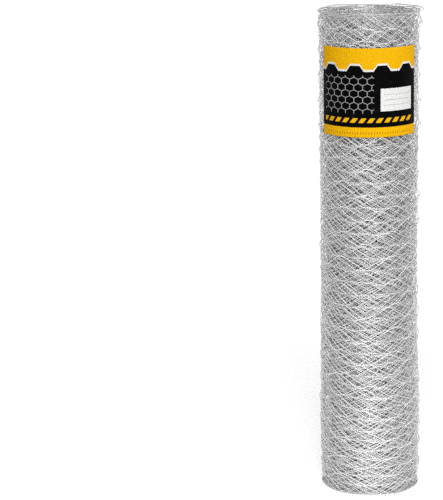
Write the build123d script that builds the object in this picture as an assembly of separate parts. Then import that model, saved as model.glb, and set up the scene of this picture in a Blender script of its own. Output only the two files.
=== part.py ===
"""Roll of hexagonal wire netting that stands on its end, with a card label round its front.

Millimetres, +Z up along the roll. The origin is the middle of the end that it stands on,
and the label faces -Y.
"""

from build123d import *

import os
from math import degrees

# The roll. The netting was pulled tight as it was wound, so the roll is waisted between its two ends.
# It is straight where the card lies, because card bends one way only, and flares above that.
roll_height = 1500.0  # width of the netting, from selvedge to selvedge
base_radius = 154.5  # outside, at the end that it stands on
waist_radius = 148.5  # outside, at the narrowest place
waist_height = 640.0  # from the floor to the narrowest place
card_radius = 150.0  # outside, where the card lies
top_radius = 153.5  # outside, at the upper end
bore_radius = 40.0  # left by the winding bar, which was drawn out

# The turns, as their edges show on both ends: rings of packed turns with open gaps between them.
rings_shown = 18  # rings on each end, from the bore to the outside
ring_gap = 1.6  # mouth of the gap between two rings
ring_gap_depth = 7.0  # from the end face to the bottom of the gap

# The card label, bent round the front of the roll.
label_width = 332.0  # along the bend
label_height = 267.0
label_thickness = 0.5
label_drop = 99.0  # from the upper end of the roll to the card's top edge
label_clearance = 0.3  # between the wire and the back of the card

front_angle = -90.0  # degrees from +X, the way that the label faces

label_top = roll_height - label_drop
label_bottom = label_top - label_height


def gap_radii(outside):
    """Middle of each gap between two rings on an end of that outside radius."""
    ring = (outside - bore_radius) / rings_shown
    return [bore_radius + ring * count for count in range(1, rings_shown)]


def ring_gap_outline(radius, face, inwards):
    """V-shaped section of one gap, cut from an end face; inwards is +1 on the base and -1 on the top."""
    return Polyline(
        (radius - ring_gap / 2, face),
        (radius + ring_gap / 2, face),
        (radius, face + inwards * ring_gap_depth),
        close=True,
    )


def netting_roll():
    """The wound netting: one turned solid with its bore, waisted, with its rings of turns on both ends."""
    ends = ((0, base_radius, 1), (roll_height, top_radius, -1))
    with BuildPart() as roll:
        with BuildSketch(Plane.XZ):
            with BuildLine():
                side = ThreePointArc(
                    (base_radius, 0),
                    (waist_radius, waist_height),
                    (card_radius, label_bottom),
                )
                Polyline(
                    side @ 1,
                    (card_radius, label_top),
                    (top_radius, roll_height),
                    (bore_radius, roll_height),
                    (bore_radius, 0),
                    side @ 0,
                )
            make_face()
            for face, outside, inwards in ends:
                for radius in gap_radii(outside):
                    with BuildLine():
                        ring_gap_outline(radius, face, inwards)
                    make_face(mode=Mode.SUBTRACT)
        revolve(axis=Axis.Z)
    return roll.part


def card_label():
    """A thin card bent round the front of the roll, a hair clear of the wire."""
    back_radius = card_radius + label_clearance
    bend = degrees(label_width / back_radius)
    with BuildPart() as label:
        with BuildSketch(Plane.XZ):
            with Locations((back_radius, label_bottom)):
                Rectangle(label_thickness, label_height, align=Align.MIN)
        revolve(axis=Axis.Z, revolution_arc=bend)
    return label.part.rotate(Axis.Z, front_angle - bend / 2)


def main():
    """Writes each piece to its own file."""
    os.makedirs("parts", exist_ok=True)
    export_step(netting_roll(), "parts/netting_roll.step")
    export_step(card_label(), "parts/card_label.step")


main()
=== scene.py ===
"""A standing roll of hexagonal wire netting, dressed wire by wire, with a card label round its front.

Metres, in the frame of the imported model: +Z up along the roll, the label facing -Y. The sheet of
netting is drawn flat, as heights against the distance run from its free edge, and a winding then
places every point of it in space.
"""

from __future__ import annotations

import logging
from dataclasses import dataclass
from enum import Enum

import bpy
import numpy as np
from mathutils import Matrix, Vector

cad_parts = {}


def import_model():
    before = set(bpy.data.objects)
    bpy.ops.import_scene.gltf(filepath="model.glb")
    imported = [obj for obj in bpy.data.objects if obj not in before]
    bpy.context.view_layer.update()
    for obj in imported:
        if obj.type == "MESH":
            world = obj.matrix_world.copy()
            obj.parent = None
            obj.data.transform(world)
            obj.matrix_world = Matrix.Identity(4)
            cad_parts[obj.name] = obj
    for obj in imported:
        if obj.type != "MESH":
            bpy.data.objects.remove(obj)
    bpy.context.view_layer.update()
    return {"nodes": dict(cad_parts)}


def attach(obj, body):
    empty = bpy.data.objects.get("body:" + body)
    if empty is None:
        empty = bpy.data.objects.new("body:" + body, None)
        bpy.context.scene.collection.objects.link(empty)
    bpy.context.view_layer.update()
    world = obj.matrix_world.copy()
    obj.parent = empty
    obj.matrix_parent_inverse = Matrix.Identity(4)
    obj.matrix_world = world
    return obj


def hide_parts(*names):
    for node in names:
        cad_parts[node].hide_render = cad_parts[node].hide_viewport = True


log = logging.getLogger("netting_roll")

Array = np.ndarray
Span = tuple[float, float]
Spot = tuple[float, float, float]
Colour = tuple[float, float, float, float]
Material = bpy.types.Material
Piece = bpy.types.Object
Socket = bpy.types.NodeSocket
Tree = bpy.types.NodeTree

MILLIMETRE = 0.001
FULL_TURN = 2 * np.pi
FRONT = -np.pi / 2  # the angle round the roll that the label faces
WHITE = (1.0, 1.0, 1.0, 1.0)
BAKE_MAP = "OFBake"  # a map of this name keeps its layout when the surfaces are baked
MAP_MARGIN = 0.01  # between the outermost wires and the edges of their bake map
RING_SPREAD = 0.0016  # between two corners of a wire's ring on its bake map
OUTSIDE_SHARE = 0.93  # of the largest radius; a level with less has no point on the outside
MEAN_STEPS = 200  # heights that the roll's mean radius is taken over
TURN_STEPS = 4000  # entries in the table of turns against runs
SINES = 9  # added up in a wandering


class Wander(Enum):
    """What is uneven about the roll and its card, each with the seed and the reach of its wandering.

    A wandering is smooth and of about unit size: a sum of sines in random directions. The reach is
    about how far apart two places have to be to wander apart, in metres, or in turns.
    """

    SWAY = (5, 0.16)
    RIPPLE = (6, 0.045)
    ROWS = (7, 0.28)
    TOP_EDGE = (11, 0.09)
    FOOT_EDGE = (12, 0.09)
    TOP_TURNS = (16, 0.9)
    FOOT_TURNS = (17, 0.9)
    CARD = (31, 0.11)

    def at(self, x: Array, y: Array | float = 0.0) -> Array:
        """The wandering at each place.

        Args:
            x: First coordinate.
            y: Second coordinate, of the same shape or one that broadcasts.

        Returns:
            The sum of the sines there.
        """
        seed, reach = self.value
        random = np.random.default_rng(seed)
        along = random.normal(size=SINES) * 2 / reach
        across = random.normal(size=SINES) * 2 / reach
        phase = random.uniform(0, FULL_TURN, SINES)
        total = sum(np.sin(a * x + b * y + p) for a, b, p in zip(along, across, phase))
        return total * np.sqrt(2 / SINES)


def smooth_step(value: Array, low: float, high: float) -> Array:
    """0 below low, 1 above high, and an S-shaped rise, 3t^2 - 2t^3, between them.

    Args:
        value: What is compared.
        low: Where the rise starts.
        high: Where it ends.

    Returns:
        The share of the rise at each value.
    """
    share = np.clip((value - low) / (high - low), 0, 1)
    return share * share * (3 - 2 * share)


def in_scene(name: str, data: bpy.types.ID) -> Piece:
    """A new object, linked to the scene.

    Args:
        name: Its name.
        data: Its mesh, lamp or camera.

    Returns:
        The object.
    """
    item = bpy.data.objects.new(name, data)
    bpy.context.scene.collection.objects.link(item)
    return item


@dataclass
class Surface:
    """Vertices, faces and the vertices' places on a UV map, gathered as arrays for one mesh."""

    points: Array
    faces: list[Array]
    places: Array

    @staticmethod
    def joined(parts: list[Surface]) -> Surface:
        """Several surfaces as one.

        Args:
            parts: The surfaces, in order.

        Returns:
            One surface that holds them all.
        """
        starts = np.cumsum([0] + [len(part.points) for part in parts])
        faces = [face + start for part, start in zip(parts, starts) for face in part.faces]
        return Surface(
            np.concatenate([part.points for part in parts]),
            faces,
            np.concatenate([part.places for part in parts]),
        )

    def piece(self, name: str, map_name: str = BAKE_MAP) -> Piece:
        """Puts the surface into a new object at the origin.

        Args:
            name: The piece's name.
            map_name: Name of its UV map.

        Returns:
            The object, linked to the scene and smooth shaded.
        """
        corners = np.concatenate([face.ravel() for face in self.faces]).astype(np.int32)
        sizes = np.concatenate([np.full(len(face), face.shape[1]) for face in self.faces])
        starts = (np.cumsum(sizes) - sizes).astype(np.int32)
        mesh = bpy.data.meshes.new(name)
        mesh.vertices.add(len(self.points))
        mesh.vertices.foreach_set("co", self.points.astype(np.float32).ravel())
        mesh.loops.add(len(corners))
        mesh.loops.foreach_set("vertex_index", corners)
        mesh.polygons.add(len(starts))
        mesh.polygons.foreach_set("loop_start", starts)
        mesh.update(calc_edges=True)
        mesh.shade_smooth()
        layer = mesh.uv_layers.new(name=map_name)
        layer.uv.foreach_set("vector", self.places[corners].astype(np.float32).ravel())
        return in_scene(name, mesh)


def on_map(share: Array) -> Array:
    """Shares of a piece's length or height as places on its bake map, clear of the map's edges."""
    return share * (1 - 2 * MAP_MARGIN) + MAP_MARGIN


def tubes(paths: Array, outward: Array, radius: float, sides: int, places: Array) -> Surface:
    """Round wires swept along many paths at once.

    At each point of a path the section is a ring about it: the radius times the cosine of the ring
    angle along the outward direction, made square to the path, plus the radius times the sine along
    the direction square to both. The ring's radius is raised so that its sides are as long in all
    as the wire is round.

    Args:
        paths: Points of each path, as (path, point, xyz).
        outward: A direction at each point, never along the path.
        radius: The wire's radius.
        sides: Sides of its section.
        places: Bake map place of each point, as (path, point, 2).

    Returns:
        All the wires, with both ends of each closed.
    """
    count, steps, _ = paths.shape
    along = np.empty_like(paths)
    along[:, 1:-1] = paths[:, 2:] - paths[:, :-2]
    along[:, 0] = paths[:, 1] - paths[:, 0]
    along[:, -1] = paths[:, -1] - paths[:, -2]
    along /= np.linalg.norm(along, axis=-1, keepdims=True)
    up = outward - (outward * along).sum(-1, keepdims=True) * along
    up /= np.linalg.norm(up, axis=-1, keepdims=True)
    across = np.cross(along, up)
    turn = np.arange(sides) * FULL_TURN / sides
    reach = radius * np.pi / (sides * np.sin(np.pi / sides))
    ring = np.cos(turn)[:, None] * up[:, :, None] + np.sin(turn)[:, None] * across[:, :, None]
    points = paths[:, :, None] + reach * ring
    number = np.arange(count * steps * sides).reshape(count, steps, sides)
    after = np.roll(number, -1, axis=2)
    walls = np.stack([number[:, :-1], after[:, :-1], after[:, 1:], number[:, 1:]], axis=-1)
    faces = [walls.reshape(-1, 4), number[:, 0, ::-1], number[:, -1]]
    spread = np.stack([np.zeros(sides), np.arange(sides) * RING_SPREAD], axis=-1)
    maps = places[:, :, None] + spread
    return Surface(points.reshape(-1, 3), faces, maps.reshape(-1, 2))


class Field:
    """A number that changes over a surface: a socket of a node tree, with arithmetic."""

    def __init__(self, tree: Tree, socket: Socket) -> None:
        """Wraps a socket of a tree."""
        self.tree = tree
        self.socket = socket

    def math(self, operation: str, *others: Field | float) -> Field:
        """A Math node on this field and others.

        Args:
            operation: The node's operation.
            others: Its further inputs.

        Returns:
            The node's value.
        """
        node = self.tree.nodes.new("ShaderNodeMath")
        node.operation = operation
        for entry, value in zip(node.inputs, (self, *others)):
            if isinstance(value, Field):
                self.tree.links.new(value.socket, entry)
            else:
                entry.default_value = value
        return Field(self.tree, node.outputs[0])

    def __add__(self, other: Field | float) -> Field:
        """Sum."""
        return self.math("ADD", other)

    def __sub__(self, other: Field | float) -> Field:
        """Difference."""
        return self.math("SUBTRACT", other)

    def __mul__(self, other: Field | float) -> Field:
        """Product."""
        return self.math("MULTIPLY", other)

    def between(self, ends: Span) -> Field:
        """This field, from 0 to 1, as a value that goes from one end of a span to the other."""
        return self * (ends[1] - ends[0]) + ends[0]

    def above(self, edge: Field | float, soft: float) -> Field:
        """1 where this field is over an edge, 0 below it, and a short ramp between.

        Args:
            edge: The edge.
            soft: Width of the ramp.

        Returns:
            The mask.
        """
        ramp = (self - edge) * (1 / soft) + 0.5
        return ramp.math("MINIMUM", 1.0).math("MAXIMUM", 0.0)

    def below(self, edge: Field | float, soft: float) -> Field:
        """The opposite of above."""
        return self.above(edge, soft).math("MULTIPLY_ADD", -1.0, 1.0)

    def within(self, low: float, high: float, soft: float) -> Field:
        """1 between two edges."""
        return self.above(low, soft) * self.below(high, soft)


def neutral(level: float) -> Colour:
    """A neutral colour."""
    return (level, level, level, 1.0)


def new_material(name: str) -> tuple[Material, Tree, bpy.types.Node]:
    """A material with its node tree and its Principled shader.

    Args:
        name: The material's name.

    Returns:
        The material, its tree and the shader node.
    """
    material = bpy.data.materials.new(name)
    material.use_nodes = True
    tree = material.node_tree
    return material, tree, tree.nodes["Principled BSDF"]


def colour_mix(tree: Tree, mask: Field, under: Socket | Colour, over: Socket | Colour) -> Socket:
    """Lays a colour over another by a mask.

    Args:
        tree: The node tree.
        mask: Where the upper colour lies.
        under: The lower colour, or a socket that gives it.
        over: The upper colour, or a socket that gives it.

    Returns:
        The socket of the mixed colour.
    """
    node = tree.nodes.new("ShaderNodeMix")
    node.data_type = "RGBA"
    tree.links.new(mask.socket, node.inputs["Factor"])
    for entry, colour in zip(node.inputs[6:8], (under, over)):
        if isinstance(colour, tuple):
            entry.default_value = colour
        else:
            tree.links.new(colour, entry)
    return node.outputs[2]


def noise(tree: Tree, scale: float, detail: float, where: Socket) -> Field:
    """A noise texture.

    Args:
        tree: The node tree.
        scale: Its scale.
        detail: Its octaves.
        where: The coordinates that it reads.

    Returns:
        Its value, from 0 to 1.
    """
    node = tree.nodes.new("ShaderNodeTexNoise")
    node.inputs["Scale"].default_value = scale
    node.inputs["Detail"].default_value = detail
    tree.links.new(where, node.inputs["Vector"])
    return Field(tree, node.outputs[0])


def object_place(tree: Tree) -> Socket:
    """The piece's own coordinates."""
    return tree.nodes.new("ShaderNodeTexCoord").outputs["Object"]


def add_relief(shader: bpy.types.Node, height: Socket, strength: float, depth: float) -> None:
    """Gives a shader fine relief.

    Args:
        shader: The shader.
        height: The relief, from 0 to 1.
        strength: How much of it shows.
        depth: How deep it is.
    """
    tree = shader.id_data
    bump = tree.nodes.new("ShaderNodeBump")
    bump.inputs["Strength"].default_value = strength
    bump.inputs["Distance"].default_value = depth
    tree.links.new(height, bump.inputs["Height"])
    tree.links.new(bump.outputs["Normal"], shader.inputs["Normal"])


@dataclass(frozen=True)
class ZincCoat:
    """The look of hot-dipped zinc: bright metal with dull bloom in patches and a fine spangle."""

    name: str = "zinc_coat"
    patch_scale: float = 22.0
    patch_detail: float = 3.0
    patch_edge: float = 0.52
    patch_soft: float = 0.22
    patch_share: float = 0.6  # of the dullness, the rest being spangle
    spangle_scale: float = 420.0
    spangle_detail: float = 1.0

    def group(self) -> Tree:
        """The coat as a node group.

        Returns:
            A group with the two colours as inputs, and colour, dullness and height as outputs.
        """
        group = bpy.data.node_groups.new(self.name, "ShaderNodeTree")
        sockets = (
            ("Bright", "INPUT", "NodeSocketColor"),
            ("Dull", "INPUT", "NodeSocketColor"),
            ("Colour", "OUTPUT", "NodeSocketColor"),
            ("Dullness", "OUTPUT", "NodeSocketFloat"),
            ("Height", "OUTPUT", "NodeSocketFloat"),
        )
        for name, way, kind in sockets:
            group.interface.new_socket(name, in_out=way, socket_type=kind)
        entry = group.nodes.new("NodeGroupInput")
        leave = group.nodes.new("NodeGroupOutput")
        where = object_place(group)
        patches = noise(group, self.patch_scale, self.patch_detail, where)
        patches = patches.above(self.patch_edge, self.patch_soft)
        spangle = noise(group, self.spangle_scale, self.spangle_detail, where)
        dullness = patches * self.patch_share + spangle * (1 - self.patch_share)
        colour = colour_mix(group, dullness, entry.outputs["Bright"], entry.outputs["Dull"])
        group.links.new(colour, leave.inputs["Colour"])
        group.links.new(dullness.socket, leave.inputs["Dullness"])
        group.links.new(spangle.socket, leave.inputs["Height"])
        return group


@dataclass(frozen=True)
class ZincFinish:
    """Galvanised wire, from bright zinc to dull bloom."""

    name: str
    bright: Colour
    dull: Colour
    metallic: float = 0.6
    roughness: Span = (0.42, 0.56)
    relief: float = 0.3
    relief_depth: float = 0.05 * MILLIMETRE

    def material(self, group: Tree) -> Material:
        """The finish as a material.

        Args:
            group: The zinc coat's node group.

        Returns:
            The material.
        """
        material, tree, shader = new_material(self.name)
        coat = tree.nodes.new("ShaderNodeGroup")
        coat.node_tree = group
        coat.inputs["Bright"].default_value = self.bright
        coat.inputs["Dull"].default_value = self.dull
        tree.links.new(coat.outputs["Colour"], shader.inputs["Base Color"])
        rough = Field(tree, coat.outputs["Dullness"]).between(self.roughness)
        tree.links.new(rough.socket, shader.inputs["Roughness"])
        add_relief(shader, coat.outputs["Height"], self.relief, self.relief_depth)
        shader.inputs["Metallic"].default_value = self.metallic
        return material


NETTING_FINISH = ZincFinish("galvanised_wire", bright=neutral(0.905), dull=neutral(0.785))
# The selvedge wire is coloured darker than the netting: painted shade, which greys the crowded top edge
# and lines the foot like a shadow.
SELVEDGE_SHADE_FINISH = ZincFinish("selvedge_painted_shade", bright=neutral(0.66), dull=neutral(0.54))


@dataclass(frozen=True)
class PrintedCard:
    """Black, yellow and white print on coated card, laid out in millimetres from its lower left."""

    name: str
    width: float
    height: float
    black: Colour = (0.0012, 0.0013, 0.0015, 1.0)
    yellow: Colour = (0.94, 0.50, 0.004, 1.0)
    white: Colour = (0.86, 0.86, 0.84, 1.0)
    grey: Colour = (0.42, 0.42, 0.41, 1.0)
    map_name: str = "print"
    soft: float = 0.5  # width of a printed edge
    # The yellow head's stepped lower edge with a white line under it, and the yellow foot.
    head_low: float = 212.0
    head_line: float = 6.0
    step_width: float = 41.5
    step_slope: float = 1.4
    step_half: float = 9.0
    foot_high: float = 30.0
    # The honeycomb, drawn flatter than regular by its squash.
    net_cell: float = 27.0
    net_line: float = 2.1
    net_squash: float = 1.25
    net_across: Span = (14.0, 182.0)
    net_up: Span = (72.0, 186.0)
    # The blank panel and its rules.
    panel_across: Span = (202.0, 314.0)
    panel_up: Span = (78.0, 146.0)
    rules_across: Span = (212.0, 304.0)
    rules_up: Span = (90.0, 134.0)
    rule_middle: float = 112.0
    rule_pitch: float = 16.0
    rule_width: float = 1.4
    # Slanting bars under the honeycomb and the panel, and ticks on the foot.
    bar_pitch: float = 26.0
    bar_width: float = 15.0
    bar_slant: float = -0.7
    bars_across: Span = (14.0, 318.0)
    bars_up: Span = (44.0, 58.0)
    tick_pitch: float = 8.3
    tick_width: float = 1.4
    ticks_across: Span = (20.0, 312.0)
    ticks_up: Span = (9.0, 16.0)
    # Wear, shine and grain: noise scales and octaves, and what the noise does.
    scuff_noise: Span = (38.0, 5.0)
    scuff_edge: float = 0.70
    scuff_soft: float = 0.20
    scuff: float = 0.015
    shine_noise: Span = (55.0, 4.0)
    roughness: Span = (0.42, 0.58)
    specular: float = 0.025
    grain_noise: Span = (900.0, 2.0)
    grain: float = 0.12
    grain_depth: float = 0.2 * MILLIMETRE

    def honeycomb(self, x: Field, y: Field) -> Field:
        """Lines of a honeycomb: where a point is about as near to the next cell's middle.

        Args:
            x: Millimetres across.
            y: Millimetres up, squashed.

        Returns:
            The mask of the lines.
        """
        cell = self.net_cell
        tall = cell * 3**0.5
        near = []
        for shift in (0.0, 0.5):
            gx = (x + cell * shift).math("FLOORED_MODULO", cell) - cell / 2
            gy = (y + tall * shift).math("FLOORED_MODULO", tall) - tall / 2
            gx, gy = gx.math("ABSOLUTE"), gy.math("ABSOLUTE")
            near.append(gx.math("MAXIMUM", gx * 0.5 + gy * (3**0.5 / 2)))
        nearest = near[0].math("MINIMUM", near[1])
        return nearest.above(cell / 2 - self.net_line / 2, self.soft)

    def stripes(self, along: Field, pitch: float, width: float) -> Field:
        """Stripes of a width, a pitch apart, across a direction."""
        return along.math("FLOORED_MODULO", pitch).below(width, self.soft)

    def layers(self, x: Field, y: Field) -> list[tuple[Field, Colour]]:
        """The inks over the black ground, in the order that they are laid.

        Args:
            x: Millimetres across.
            y: Millimetres up.

        Returns:
            The mask and the colour of each.
        """

        def box(across: Span, up: Span) -> Field:
            """A rectangle."""
            return x.within(*across, self.soft) * y.within(*up, self.soft)

        step = (x.math("PINGPONG", self.step_width) - self.step_width / 2) * self.step_slope
        step = step.math("MINIMUM", self.step_half).math("MAXIMUM", -self.step_half)
        head = step + self.head_low
        net = self.honeycomb(x, y * self.net_squash)
        bars = self.stripes(x + y * self.bar_slant, self.bar_pitch, self.bar_width)
        rules = (y - self.rule_middle).math("PINGPONG", self.rule_pitch / 2)
        rules = rules.below(self.rule_width / 2, self.soft)
        ticks = self.stripes(x, self.tick_pitch, self.tick_width)
        return [
            (net * box(self.net_across, self.net_up), self.grey),
            (bars * box(self.bars_across, self.bars_up), self.yellow),
            (box(self.panel_across, self.panel_up), self.white),
            (rules * box(self.rules_across, self.rules_up), self.grey),
            (y.above(head - self.head_line, self.soft), self.white),
            (y.above(head, self.soft), self.yellow),
            (y.below(self.foot_high, self.soft), self.yellow),
            (ticks * box(self.ticks_across, self.ticks_up), self.black),
        ]

    def material(self) -> Material:
        """The print as a material, a little scuffed, with an uneven shine and a fine grain.

        Returns:
            The material.
        """
        material, tree, shader = new_material(self.name)
        place = tree.nodes.new("ShaderNodeUVMap")
        place.uv_map = self.map_name
        split = tree.nodes.new("ShaderNodeSeparateXYZ")
        tree.links.new(place.outputs["UV"], split.inputs["Vector"])
        x = Field(tree, split.outputs["X"]) * self.width
        y = Field(tree, split.outputs["Y"]) * self.height
        colour: Socket | Colour = self.black
        for mask, ink in self.layers(x, y):
            colour = colour_mix(tree, mask, colour, ink)
        where = object_place(tree)
        scuffs = noise(tree, *self.scuff_noise, where).above(self.scuff_edge, self.scuff_soft)
        worn = colour_mix(tree, scuffs * self.scuff, colour, self.white)
        tree.links.new(worn, shader.inputs["Base Color"])
        rough = noise(tree, *self.shine_noise, where).between(self.roughness)
        tree.links.new(rough.socket, shader.inputs["Roughness"])
        shader.inputs["Specular IOR Level"].default_value = self.specular
        grain = noise(tree, *self.grain_noise, where)
        add_relief(shader, grain.socket, self.grain, self.grain_depth)
        return material


@dataclass(frozen=True)
class GreyBoard:
    """The card's uncoated back and cut edge."""

    name: str
    light: Colour = (0.42, 0.40, 0.37, 1.0)
    dark: Colour = (0.30, 0.285, 0.26, 1.0)
    fleck_noise: Span = (700.0, 4.0)
    fleck_edge: float = 0.55
    fleck_soft: float = 0.2
    roughness: Span = (0.8, 0.9)

    def material(self) -> Material:
        """The board as a material, flecked with darker fibre.

        Returns:
            The material.
        """
        material, tree, shader = new_material(self.name)
        flecks = noise(tree, *self.fleck_noise, object_place(tree))
        flecks = flecks.above(self.fleck_edge, self.fleck_soft)
        tree.links.new(colour_mix(tree, flecks, self.light, self.dark), shader.inputs["Base Color"])
        tree.links.new(flecks.between(self.roughness).socket, shader.inputs["Roughness"])
        return material


@dataclass
class CardLabel:
    """A printed card bent round the front of the roll."""

    back: float
    face: float
    half_bend: float
    low: float
    high: float
    across: int = 121
    up: int = 61
    wave: float = 0.00022
    wave_span: float = 0.16  # the card's half width, as the wandering sees it
    end_lift: float = 0.0005
    wire_room: float = 0.0011  # from the card's back to the middle of the wires that it presses on
    margin: float = 0.012  # round the card, where wires come out from behind it

    @classmethod
    def measured(cls, points: Array) -> CardLabel:
        """The card that a packed bent sheet stands for.

        Args:
            points: The sheet's points.

        Returns:
            The card.
        """
        radius = np.hypot(points[:, 0], points[:, 1])
        aside = np.arctan2(points[:, 0], -points[:, 1])
        ends = radius.min(), radius.max(), aside.max(), points[:, 2].min(), points[:, 2].max()
        return cls(*(float(end) for end in ends))

    def press(self, radius: Array, angle: Array, height: Array) -> Array:
        """Holds wires behind the card: what is past its back is taken off, by the share of its zone.

        Args:
            radius: Radii of points of the netting.
            angle: Their angles round the roll.
            height: Their heights.

        Returns:
            The radii, pressed in.
        """
        limit = self.back - self.wire_room
        aside = np.abs((angle - FRONT + np.pi) % FULL_TURN - np.pi)
        inside = 1 - smooth_step(aside, self.half_bend, self.half_bend + self.margin / limit)
        inside *= smooth_step(height, self.low - self.margin, self.low)
        inside *= 1 - smooth_step(height, self.high, self.high + self.margin)
        return radius - inside * np.maximum(radius - limit, 0)

    def sheet(self, radius: float) -> Array:
        """One side of the card: an arc at a radius, wavy, with its two ends lifting a little.

        The angle runs evenly from one end to the other and the height evenly up. The radius gets a
        wandering, plus the end lift times the eighth power of the share of the way to an end.

        Args:
            radius: Radius of that side.

        Returns:
            Points as (up, across, xyz).
        """
        share = np.linspace(-1, 1, self.across)[None, :]
        height = np.linspace(self.low, self.high, self.up)[:, None]
        wavy = self.wave * np.abs(Wander.CARD.at(share * self.wave_span, height))
        lifted = radius + wavy + self.end_lift * share**8
        angle = FRONT + share * self.half_bend + 0 * height
        points = [lifted * np.cos(angle), lifted * np.sin(angle), height + 0 * share]
        return np.stack(points, axis=-1)

    def surface(self) -> tuple[Surface, int]:
        """The card as a closed sheet: its face, its back and a wall round its edge.

        Returns:
            The surface, and how many of its faces are printed, which come first.
        """
        sides = [self.sheet(radius).reshape(-1, 3) for radius in (self.face, self.back)]
        number = np.arange(self.up * self.across).reshape(self.up, self.across)
        corners = number[:-1, :-1], number[:-1, 1:], number[1:, 1:], number[1:, :-1]
        printed = np.stack(corners, axis=-1).reshape(-1, 4)
        behind = printed[:, ::-1] + number.size
        rim = np.concatenate([number[0], number[1:, -1], number[-1, -2::-1], number[-2:0:-1, 0]])
        after = np.roll(rim, -1)
        wall = np.stack([after, rim, rim + number.size, after + number.size], axis=-1)
        up, across = np.meshgrid(
            np.linspace(0, 1, self.up), np.linspace(0, 1, self.across), indexing="ij"
        )
        places = np.tile(np.stack([across.ravel(), up.ravel()], axis=-1), (2, 1))
        return Surface(np.concatenate(sides), [printed, behind, wall], places), len(printed)

    def dress(self) -> Piece:
        """Makes the card, with print on its face, and grey board on its back and edge.

        Returns:
            The piece.
        """
        surface, printed = self.surface()
        width = 2 * self.half_bend * self.face / MILLIMETRE
        card = PrintedCard("printed_card", width, (self.high - self.low) / MILLIMETRE)
        piece = surface.piece("card_label_print", card.map_name)
        piece.data.materials.append(card.material())
        piece.data.materials.append(GreyBoard("grey_board").material())
        slots = np.ones(len(piece.data.polygons), np.int32)
        slots[:printed] = 0
        piece.data.polygons.foreach_set("material_index", slots)
        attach(piece, "root")
        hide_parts("card_label")
        return piece


@dataclass(frozen=True)
class Stretch:
    """A stretch of the sheet: its piece's name, its first turn, and how closely it is drawn."""

    piece: str
    first_turn: int
    sides: int
    twist_steps: int
    diagonal_steps: int
    helical: bool = False


class Depth(Enum):
    """The sheet's stretches, from the outermost turns to the bore."""

    OUTER = Stretch("netting_outer", 0, sides=4, twist_steps=12, diagonal_steps=2, helical=True)
    NEAR = Stretch("netting_near", 2, sides=3, twist_steps=4, diagonal_steps=2)
    DEEP = Stretch("netting_deep", 8, sides=3, twist_steps=2, diagonal_steps=1)
    INNER = Stretch("netting_inner", 26, sides=3, twist_steps=1, diagonal_steps=1)
    BORE = Stretch("netting_bore", 46, sides=3, twist_steps=1, diagonal_steps=1)


class End(Enum):
    """The two ends of the roll."""

    BOTTOM = "bottom"
    TOP = "top"


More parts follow.
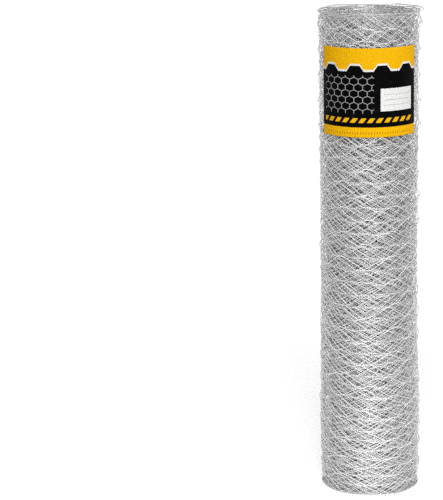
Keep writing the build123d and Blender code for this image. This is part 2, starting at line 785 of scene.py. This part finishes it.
@dataclass
class Winding:
    """How the sheet is wound: a point's run from the free edge and its height give its place.

    The turn that a run lies on comes from adding up the roll's mean circumference turn by turn. The
    depth of a turn under the outside is an even pitch for each turn, less a packing that builds up
    over the outermost few, which lie closer. The radius is the outside at that height less that
    depth, in proportion to the wall there.
    """

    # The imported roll: heights and outside radii up its side, its bore, and the card on it.
    heights: Array
    radii: Array
    bore: float
    card: CardLabel
    # The sheet: its length, its rows of twists, and how far the first and last are from its edges.
    length: float = 50.0
    rows: int = 42
    edge: float = 0.0026
    # The turns: where the free edge is, how far wire stands proud, and how the outermost turns lie.
    free_edge: float = np.radians(62)
    proud: float = 0.0016
    packing: float = 0.0036
    packing_turns: float = 4.0
    loose_turns: float = 1.3
    # Swelling at each row, the last turn standing off above the waist, and the flare at the top.
    row_bulge: float = 0.0024
    stand_off: float = 0.0022
    stand_off_heights: Span = (1.02, 1.20)
    stand_off_turns: Span = (0.8, 1.0)
    top_flare: float = 0.0026
    top_flare_drop: float = 0.060
    # The foot, tucked in but for one slack stretch, and the belly on one side above it.
    foot_tuck: float = 0.0095
    foot_tuck_rise: float = 0.013
    foot_slack: float = 0.015
    foot_slack_angle: float = np.radians(-64)
    foot_slack_spread: float = np.radians(13)
    foot_slack_rise: float = 0.016
    belly: float = 0.0055
    belly_angle: float = np.radians(-5)
    belly_heights: Span = (0.16, 0.62)
    # Wandering in and out, of all turns and of the loose ones.
    wander: float = 0.0007
    loose_wander: float = 0.0013
    loose_ripple: float = 0.0011
    # Rows: settled towards the foot, hanging at the front of the lower half, and wandering.
    settle: float = 0.09
    hang: float = 0.026
    hang_starts: Span = (0.0, 0.22)
    hang_stops: Span = (0.36, 1.15)
    row_wander: float = 0.0032
    row_wander_tall: float = 2.0  # times as far up as along
    # The ends: ragged, the upper one more so inside, where it is hollow, and crowned outside.
    ragged_foot: float = 0.0006
    ragged_top: float = 0.0030
    ragged_inside: float = 0.0060
    inside_turns: Span = (1.0, 6.0)
    hollow: float = 0.021
    hollow_turns: Span = (7.0, 46.0)
    crown: float = 0.0045

    def __post_init__(self) -> None:
        """Works out the mean wall, the number of turns, and a table of turns and their runs."""
        levels = np.linspace(0, self.top(), MEAN_STEPS)
        mean = float(np.interp(levels, self.heights, self.radii).mean())
        self.wall: float = mean - self.bore
        self.turns: float = self.length / (np.pi * (mean + self.bore + self.packing))
        self.turn_table: Array = np.linspace(0, self.turns, TURN_STEPS)
        radius = mean - self.depth(self.turn_table)
        steps = np.diff(self.turn_table) * FULL_TURN * (radius[1:] + radius[:-1]) / 2
        self.run_table: Array = np.concatenate([[0], np.cumsum(steps)])

    @classmethod
    def measured(cls, points: Array, card: CardLabel) -> Winding:
        """The winding that fills a turned solid: its outside is the largest radius at each height.

        Args:
            points: The solid's points.
            card: The card that presses on it.

        Returns:
            The winding.
        """
        radius = np.hypot(points[:, 0], points[:, 1])
        level = np.round(points[:, 2] / MILLIMETRE).astype(int)
        heights, which = np.unique(level, return_inverse=True)
        radii = np.zeros(len(heights))
        np.maximum.at(radii, which, radius)
        outside = radii > radii.max() * OUTSIDE_SHARE
        return cls(heights[outside] * MILLIMETRE, radii[outside], float(radius.min()), card)

    def top(self) -> float:
        """Height of the roll."""
        return float(self.heights[-1])

    def row_pitch(self) -> float:
        """Distance between two rows of twists on the sheet."""
        return (self.top() - 2 * self.edge) / (self.rows - 1)

    def depth(self, turn: Array) -> Array:
        """Depth of a turn under the outside, in the middle of the roll's height."""
        pitch = (self.wall + self.packing) / self.turns
        return pitch * turn - self.packing * (1 - np.exp(-turn / self.packing_turns))

    def turn(self, run: Array) -> Array:
        """Turns from the outside at a run."""
        return np.interp(run, self.run_table, self.turn_table)

    def run_at(self, turn: float) -> float:
        """Run at a number of turns from the outside."""
        return float(np.interp(turn, self.turn_table, self.run_table))

    def angle(self, run: Array) -> Array:
        """Angle round the roll at a run, going back from the free edge."""
        return self.free_edge - FULL_TURN * self.turn(run)

    def outward(self, run: Array) -> Array:
        """Direction away from the axis at each run, as xyz."""
        angle = self.angle(run)
        return np.stack([np.cos(angle), np.sin(angle), np.zeros_like(angle)], axis=-1)

    def level(self, height: Array) -> Array:
        """Height in the roll of a height on the sheet: rows have settled and lie closer at the foot."""
        return height - self.settle * height * (1 - height / self.top())

    def radius(self, run: Array, height: Array) -> Array:
        """Distance of the sheet from the axis.

        The even winding, plus a swelling at each row of twists, where wire lies double, plus the
        flare of the outermost turns at the top and the last turn standing off above the waist. The
        edge at the foot is tucked in by a falling exponential of the height, and one stretch of it
        is slack. A belly as the squared cosine of the angle lies low on one side and shows again in
        the flare. Wandering comes last, more of it on the loose turns.

        Args:
            run: Runs from the free edge.
            height: Heights on the sheet.

        Returns:
            The radius at each point.
        """
        turn = self.turn(run)
        angle = self.angle(run)
        level = self.level(height)
        row = np.cos(FULL_TURN * (height - self.edge) / self.row_pitch())
        outside = np.interp(level, self.heights, self.radii) + self.proud
        share = self.depth(turn) / self.wall
        radius = outside - share * (outside - self.bore)
        radius += self.row_bulge / 2 * row * (1 - share)
        loose = np.exp(-turn / self.loose_turns)
        flare = np.exp(-(self.top() - level) / self.top_flare_drop)
        radius += self.top_flare * flare * loose
        off = smooth_step(level, *self.stand_off_heights)
        radius += self.stand_off * off * (1 - smooth_step(turn, *self.stand_off_turns))
        radius -= self.foot_tuck * np.exp(-level / self.foot_tuck_rise)
        aside = (angle - self.foot_slack_angle + np.pi) % FULL_TURN - np.pi
        foot = np.exp(-((aside / self.foot_slack_spread) ** 2) - level / self.foot_slack_rise)
        radius += self.foot_slack * foot * (turn < 1)
        side = np.maximum(np.cos(angle - self.belly_angle), 0) ** 2
        slack = 1 - smooth_step(level, *self.belly_heights)
        radius += self.belly * side * (slack * (1 - share) + flare * loose)
        sway = self.wander + self.loose_wander * loose
        radius += sway * Wander.SWAY.at(run, height)
        return radius + self.loose_ripple * loose * Wander.RIPPLE.at(run, height)

    def shortfall(self, run: Array, end: End) -> Array:
        """How far the edge of the sheet lies inside an end of the roll.

        Both ends are ragged from turn to turn and along each turn. The top is hollow too, as the
        inner turns were drawn tighter and are narrower, and they stand on the floor. Its outermost
        turns stand up a little as a crown.

        Args:
            run: Runs from the free edge.
            end: Which end.

        Returns:
            The distance of the edge from the end, at each run.
        """
        turn = self.turn(run)
        if end is End.BOTTOM:
            return np.abs(Wander.FOOT_EDGE.at(run) + Wander.FOOT_TURNS.at(turn)) * self.ragged_foot
        ragged = np.abs(Wander.TOP_EDGE.at(run) + Wander.TOP_TURNS.at(turn))
        inside = smooth_step(turn, *self.inside_turns)
        depth = ragged * (self.ragged_top + (self.ragged_inside - self.ragged_top) * inside)
        hollow = self.hollow * smooth_step(turn, *self.hollow_turns)
        return depth + hollow - self.crown * (1 - inside)

    def place(self, run: Array, height: Array, lift: Array) -> Array:
        """Points in space.

        The height is the settled level, less a hang in the lower half that goes as the cosine of the
        angle from the front, plus a wandering that fades towards both edges, with each end's
        shortfall shared out over the height. The radius is then pressed in behind the card.

        Args:
            run: Runs from the free edge.
            height: Heights on the sheet.
            lift: How far each point stands out of the sheet.

        Returns:
            The points, as xyz.
        """
        share = height / self.top()
        inner = np.sin(np.pi * np.clip(share, 0, 1)) ** 0.5
        angle = self.angle(run)
        level = self.level(height)
        low = smooth_step(level, *self.hang_starts) * (1 - smooth_step(level, *self.hang_stops))
        risen = level - self.hang * low * np.cos(angle - FRONT)
        risen += self.row_wander * inner * Wander.ROWS.at(run, height / self.row_wander_tall)
        risen += self.shortfall(run, End.BOTTOM) * (1 - share)
        risen -= self.shortfall(run, End.TOP) * share
        radius = self.card.press(self.radius(run, height) + lift, angle, risen)
        return np.stack([radius * np.cos(angle), radius * np.sin(angle), risen], axis=-1)


def dress_wire(surface: Surface, name: str, material: Material) -> Piece:
    """Makes a piece of the netting, which stands for the turned solid.

    Args:
        surface: Its shape.
        name: Its name.
        material: Its finish.

    Returns:
        The piece.
    """
    piece = surface.piece(name)
    piece.data.materials.append(material)
    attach(piece, "root")
    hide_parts("netting_roll")
    return piece


@dataclass
class Netting:
    """The sheet's wires: each zigzags between two rows and is twisted with its neighbour at both."""

    winding: Winding
    repeat: float = 0.160  # along the run, from a twist to the next in the same row
    twist: float = 0.022
    twist_turns: int = 2
    wire: float = 0.00160
    edge_coil: float = 0.0018  # how far wires stand off the selvedge that they go round
    # Unevenness of the twists along and across the sheet, and of the diagonals between them.
    run_jitter: float = 0.0042
    height_jitter: float = 0.0014
    bow: float = 0.0008
    most_jitter: float = 2.0  # times the usual
    seed: int = 20
    # Hooks of the cut ends: how far they bend, in radians, their radius, and their place on the map.
    hook_bend: Span = (3.3, 4.6)
    hook_radius: Span = (0.0024, 0.0042)
    hook_points: int = 9
    hook_map: Span = (0.50, 0.52)

    def __post_init__(self) -> None:
        """Counts the half repeats, and draws the unevenness of every twist and diagonal once."""
        random = np.random.default_rng(self.seed)
        self.halves: int = int(2 * self.winding.length / self.repeat)
        twists = (self.winding.rows, self.halves + 1)
        wires = (self.winding.rows - 1, self.halves + 1)
        self.run_shift: Array = self.uneven(random, self.run_jitter, twists)
        self.height_shift: Array = self.uneven(random, self.height_jitter, twists)
        self.height_shift[[0, -1]] = 0
        self.bow_height: Array = self.uneven(random, self.bow, wires)
        self.bow_lift: Array = self.uneven(random, self.bow, wires)

    def uneven(self, random: np.random.Generator, usual: float, shape: tuple[int, int]) -> Array:
        """Random shifts of a usual size, with none of them far larger."""
        return usual * np.clip(random.normal(size=shape), -self.most_jitter, self.most_jitter)

    def half_at(self, turn: float) -> int:
        """Number of the half repeat that lies a number of turns under the outside."""
        return min(int(round(2 * self.winding.run_at(turn) / self.repeat)), self.halves)

    def sheet_paths(self, first: int, last: int, detail: Stretch) -> tuple[Array, Array, Array]:
        """Paths of all wires on the flat sheet, from one half repeat to another.

        Wire j lies between rows j-1 and j. At half repeat h it is twisted into row j if j + h is
        even, and into row j-1 if it is odd, so neighbours meet there and rows are staggered. In a
        twist the wire goes round the row's line in a helix, the two wires on opposite sides of it.
        Between twists it runs straight, with a slight bow of 4f(1-f).

        Args:
            first: First half repeat.
            last: Last half repeat, where the paths end.
            detail: How many points a twist and a diagonal get.

        Returns:
            Runs, heights and lifts, each as (wire, point).
        """
        rows, edge, pitch = self.winding.rows, self.winding.edge, self.winding.row_pitch()
        halves = np.arange(first, last + 1)
        wires = np.arange(1, rows)[:, None]
        under = (wires + halves) % 2 == 0
        row = np.where(under, wires, wires - 1)
        side = np.where(under, -1.0, 1.0)[:, :, None]
        centre_run = halves * self.repeat / 2 + self.run_shift[row, halves]
        centre_height = edge + row * pitch + self.height_shift[row, halves]
        at_edge = (row == 0) | (row == rows - 1)
        coil = np.where(at_edge, self.edge_coil, self.wire / 2)[:, :, None]
        share = np.linspace(0, 1, detail.twist_steps + 1)
        phase = FULL_TURN * self.twist_turns * share * detail.helical
        run = centre_run[:, :, None] + (share - 0.5) * self.twist
        height = centre_height[:, :, None] + side * coil * np.cos(phase)
        lift = side * coil * np.sin(phase)
        way = np.arange(1, detail.diagonal_steps) / detail.diagonal_steps
        bowed = 4 * way * (1 - way)
        between = [
            twisted[:, :-1, -1:] + way * (twisted[:, 1:, :1] - twisted[:, :-1, -1:])
            for twisted in (run, height, lift)
        ]
        between[1] += bowed * self.bow_height[wires - 1, halves[:-1]][:, :, None]
        between[2] += bowed * self.bow_lift[wires - 1, halves[:-1]][:, :, None]
        whole = []
        for twisted, diagonal in zip((run, height, lift), between):
            body = np.concatenate([twisted[:, :-1], diagonal], axis=2)
            body = body.reshape(len(wires), -1)
            whole.append(np.concatenate([body, twisted[:, -1, :1]], axis=1))
        return tuple(whole)

    def stretch(self, first: int, last: int, detail: Stretch) -> Surface:
        """All wires between two half repeats, wound and drawn round.

        Args:
            first: First half repeat.
            last: Last half repeat.
            detail: How closely they are drawn.

        Returns:
            Their surface.
        """
        run, height, lift = self.sheet_paths(first, last, detail)
        paths = self.winding.place(run, height, lift)
        length = (last - first) * self.repeat / 2
        shares = (run - first * self.repeat / 2) / length, height / self.winding.top()
        places = on_map(np.stack(shares, axis=-1))
        return tubes(paths, self.winding.outward(run), self.wire / 2, detail.sides, places)

    def cut_ends(self) -> Surface:
        """The wires' cut ends at the free edge, each hooked back into the roll.

        A hook leaves the wire's end along the sheet and turns inwards on a circle: the radius times
        the sine of the bend along the sheet, and times one less its cosine towards the axis.

        Returns:
            Their surface.
        """
        detail = Depth.OUTER.value
        run, height, lift = self.sheet_paths(0, 1, detail)
        ends = self.winding.place(run[:, :2], height[:, :2], lift[:, :2])
        onward = ends[:, 0] - ends[:, 1]
        onward[:, 2] = 0
        onward /= np.linalg.norm(onward, axis=-1, keepdims=True)
        inward = -self.winding.outward(run[:, 0])
        random = np.random.default_rng(self.seed + 1)
        each = (len(ends), 1)
        bend = np.linspace(0, 1, self.hook_points) * random.uniform(*self.hook_bend, each)
        hook = random.uniform(*self.hook_radius, each)
        ahead = (hook * np.sin(bend))[:, :, None] * onward[:, None]
        down = (hook * (1 - np.cos(bend)))[:, :, None] * inward[:, None]
        paths = ends[:, :1] + ahead + down
        along = np.linspace(*self.hook_map, self.hook_points)
        places = np.broadcast_to(along[None, :, None], paths.shape[:2] + (2,))
        upright = np.broadcast_to(np.array([0.0, 0.0, 1.0]), paths.shape)
        return tubes(paths, upright, self.wire / 2, detail.sides, places)

    def dress(self, material: Material) -> list[Piece]:
        """Makes the netting's pieces, the outermost first, and then its cut ends.

        Args:
            material: Their finish.

        Returns:
            The pieces.
        """
        stops = [self.half_at(depth.value.first_turn) for depth in Depth] + [self.halves]
        pieces = [
            dress_wire(self.stretch(first, last, depth.value), depth.value.piece, material)
            for depth, first, last in zip(Depth, stops[:-1], stops[1:])
        ]
        return pieces + [dress_wire(self.cut_ends(), "netting_cut_ends", material)]


class StrandDetail(Enum):
    """How selvedge is drawn: strands, step, sides, and coil and radius as shares of a strand."""

    APART = (2, 0.0036, 4, 0.5, 0.5)
    AS_ONE = (1, 0.0075, 3, 0.0, 0.6)


@dataclass
class Selvedge:
    """An edge of the sheet: two wires laid round each other along its whole length."""

    winding: Winding
    end: End
    wire: float = 0.00115
    lay: float = 0.026
    stop_short: float = 0.05  # of the sheet's inner end
    apart_turns: float = 4.0  # from the outside, with both strands shown
    map_rows: Span = (0.4, 0.6)  # a strand's height on the bake map

    def height(self) -> float:
        """Height of the edge line on the sheet."""
        edge = self.winding.edge
        return edge if self.end is End.BOTTOM else self.winding.top() - edge

    def strands(self, start: float, stop: float, detail: StrandDetail) -> Surface:
        """One stretch: each strand a helix round the edge line, or both drawn as one wire.

        Args:
            start: Run where it starts.
            stop: Run where it stops.
            detail: How it is drawn.

        Returns:
            Its surface.
        """
        count, step, sides, coil_share, radius_share = detail.value
        coil = self.wire * coil_share
        run = np.linspace(start, stop, int((stop - start) / step) + 1)
        phase = FULL_TURN * run / self.lay + np.pi * np.arange(count)[:, None]
        runs = np.broadcast_to(run, phase.shape)
        height = self.height() + coil * np.cos(phase)
        paths = self.winding.place(runs, height, coil * np.sin(phase))
        across = np.broadcast_to(np.array(self.map_rows)[:count, None], runs.shape)
        places = np.stack([on_map(runs / self.winding.length), across], axis=-1)
        radius = self.wire * radius_share
        return tubes(paths, self.winding.outward(runs), radius, sides, places)

    def dress(self, material: Material) -> Piece:
        """Makes the edge.

        Args:
            material: Its finish, coloured darker than the netting's as painted shade.

        Returns:
            The piece.
        """
        join = self.winding.run_at(self.apart_turns)
        outside = self.strands(0.0, join, StrandDetail.APART)
        inside = self.strands(join, self.winding.length - self.stop_short, StrandDetail.AS_ONE)
        return dress_wire(Surface.joined([outside, inside]), f"selvedge_{self.end.value}", material)


@dataclass(frozen=True)
class SunLamp:
    """A wide soft lamp that lights the whole stage evenly, as a large bank of lights would."""

    name: str
    away: Spot  # the direction that it stands in
    spread: float  # the angle that it fills
    power: float
    distance: float = 4.0

    def build(self) -> None:
        """Hangs the lamp, facing the roll."""
        data = bpy.data.lights.new(self.name, "SUN")
        data.angle = self.spread
        data.energy = self.power
        away = Vector(self.away)
        turn = away.to_track_quat("Z", "Y").to_matrix().to_4x4()
        in_scene(self.name, data).matrix_world = Matrix.Translation(away * self.distance) @ turn


@dataclass(frozen=True)
class LowPanel:
    """A soft panel low in front, which lifts the lower part of the roll."""

    place: Spot = (0.10, -0.9, 0.10)
    aim: Spot = (0.0, 0.0, 0.10)
    width: float = 0.8
    height: float = 0.3
    power: float = 2.9

    def build(self) -> None:
        """Stands the panel up, out of the camera's sight."""
        data = bpy.data.lights.new("low_panel", "AREA")
        data.shape = "RECTANGLE"
        data.size = self.width
        data.size_y = self.height
        data.energy = self.power
        panel = in_scene("low_panel", data)
        panel.visible_camera = False
        turn = (Vector(self.place) - Vector(self.aim)).to_track_quat("Z", "Y")
        panel.matrix_world = Matrix.Translation(self.place) @ turn.to_matrix().to_4x4()


@dataclass
class Studio:
    """The floor, the lamps, the surround and the camera."""

    # The camera: how far off and how high it stands, how far it looks down, and its lens. Its frame
    # is in pixels, and the roll's axis stands in one column of it.
    distance: float = 5.781
    eye_height: float = 2.148
    pitch: float = 0.2367
    focal_pixels: float = 1917.0
    axis_column: float = 368.8
    frame_width: float = 443.0
    frame_height: float = 500.0
    sensor: float = 36.0
    far_clip: float = 200.0
    # The floor, which glows to the eye so that it meets the white surround.
    floor_size: float = 70.0
    floor_colour: Colour = neutral(0.93)
    floor_roughness: float = 0.9
    floor_glow: float = 0.52
    # Light: the surround's soft fill, more of it from the right, and the lamps.
    fill: float = 0.22
    fill_lean: float = 0.9
    key: SunLamp = SunLamp("key", (0.0, -1.0, 1.0), np.radians(18), 1.42)
    front: SunLamp = SunLamp("front", (0.30, -1.0, 0.3), np.radians(20), 0.84)
    panel: LowPanel = LowPanel()

    def camera(self) -> None:
        """Stands the camera up, turned aside so that the roll is right of the middle."""
        aside = np.arcsin((self.axis_column - self.frame_width / 2) / self.focal_pixels)
        data = bpy.data.cameras.new("camera")
        data.sensor_width = self.sensor
        data.lens = self.focal_pixels * np.cos(aside) * self.sensor / self.frame_height
        data.clip_end = self.far_clip
        camera = in_scene("camera", data)
        stand = Matrix.Translation((0, -self.distance, self.eye_height))
        tilt = Matrix.Rotation(np.pi / 2 - self.pitch, 4, "X")
        camera.matrix_world = stand @ tilt @ Matrix.Rotation(aside, 4, "Y")
        bpy.context.scene.camera = camera

    def floor(self) -> None:
        """Lays a pale floor."""
        half = self.floor_size / 2
        corners = [(-half, -half, 0), (half, -half, 0), (half, half, 0), (-half, half, 0)]
        mesh = bpy.data.meshes.new("floor")
        mesh.from_pydata(corners, [], [(0, 1, 2, 3)])
        floor = in_scene("floor", mesh)
        material, tree, shader = new_material("pale_floor")
        shader.inputs["Base Color"].default_value = self.floor_colour
        shader.inputs["Roughness"].default_value = self.floor_roughness
        shader.inputs["Emission Color"].default_value = WHITE
        glow = self.seen_ray(tree) * self.floor_glow
        tree.links.new(glow.socket, shader.inputs["Emission Strength"])
        mesh.materials.append(material)

    def seen_ray(self, tree: Tree) -> Field:
        """1 for a ray from the camera, or one that a reflection or glass sends on, and 0 for others.

        Args:
            tree: The node tree that asks.

        Returns:
            The mask.
        """
        path = tree.nodes.new("ShaderNodeLightPath")
        seen = Field(tree, path.outputs["Is Camera Ray"])
        seen = seen.math("MAXIMUM", Field(tree, path.outputs["Is Glossy Ray"]))
        return seen.math("MAXIMUM", Field(tree, path.outputs["Is Transmission Ray"]))

    def surround(self) -> None:
        """A white surround to the eye and in reflections, which lights the rest more softly.

        The soft light is the fill times one plus the lean times the direction's share to the right.
        """
        world = bpy.data.worlds.new("surround")
        world.use_nodes = True
        bpy.context.scene.world = world
        tree = world.node_tree
        split = tree.nodes.new("ShaderNodeSeparateXYZ")
        direction = tree.nodes.new("ShaderNodeTexCoord").outputs["Generated"]
        tree.links.new(direction, split.inputs["Vector"])
        soft = Field(tree, split.outputs["X"]) * (self.fill * self.fill_lean) + self.fill
        strength = self.seen_ray(tree) * soft.math("MULTIPLY_ADD", -1.0, 1.0) + soft
        background = tree.nodes["Background"]
        background.inputs["Color"].default_value = WHITE
        tree.links.new(strength.socket, background.inputs["Strength"])

    def build(self) -> None:
        """Sets the whole stage."""
        self.camera()
        self.floor()
        self.surround()
        for light in (self.key, self.front, self.panel):
            light.build()
        bpy.context.scene.view_settings.view_transform = "Standard"
        # The wires are thinner than a pixel, and denoising smears them into a grey haze.
        bpy.context.scene.cycles.use_denoising = False


def node_points(node: Piece) -> Array:
    """A CAD node's points.

    Args:
        node: The node.

    Returns:
        The points, as xyz.
    """
    points = np.empty(len(node.data.vertices) * 3, np.float32)
    node.data.vertices.foreach_get("co", points)
    return points.reshape(-1, 3).astype(float)


def main() -> None:
    """Builds the roll piece by piece."""
    logging.basicConfig(level=logging.INFO, format="%(name)s %(message)s")
    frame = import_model()
    label = CardLabel.measured(node_points(frame["nodes"]["card_label"]))
    winding = Winding.measured(node_points(frame["nodes"]["netting_roll"]), label)
    log.info("%.1f turns", winding.turns)
    zinc = ZincCoat().group()
    pieces = Netting(winding).dress(NETTING_FINISH.material(zinc))
    # The selvedge gets a darker zinc colour, which is painted shade along the top and foot edges.
    shaded_edging = SELVEDGE_SHADE_FINISH.material(zinc)
    pieces += [Selvedge(winding, end).dress(shaded_edging) for end in End]
    pieces.append(label.dress())
    for piece in pieces:
        triangles = len(piece.data.loops) - 2 * len(piece.data.polygons)
        log.info("%s: %d triangles", piece.name, triangles)
    Studio().build()


if __name__ == "__main__":
    main()
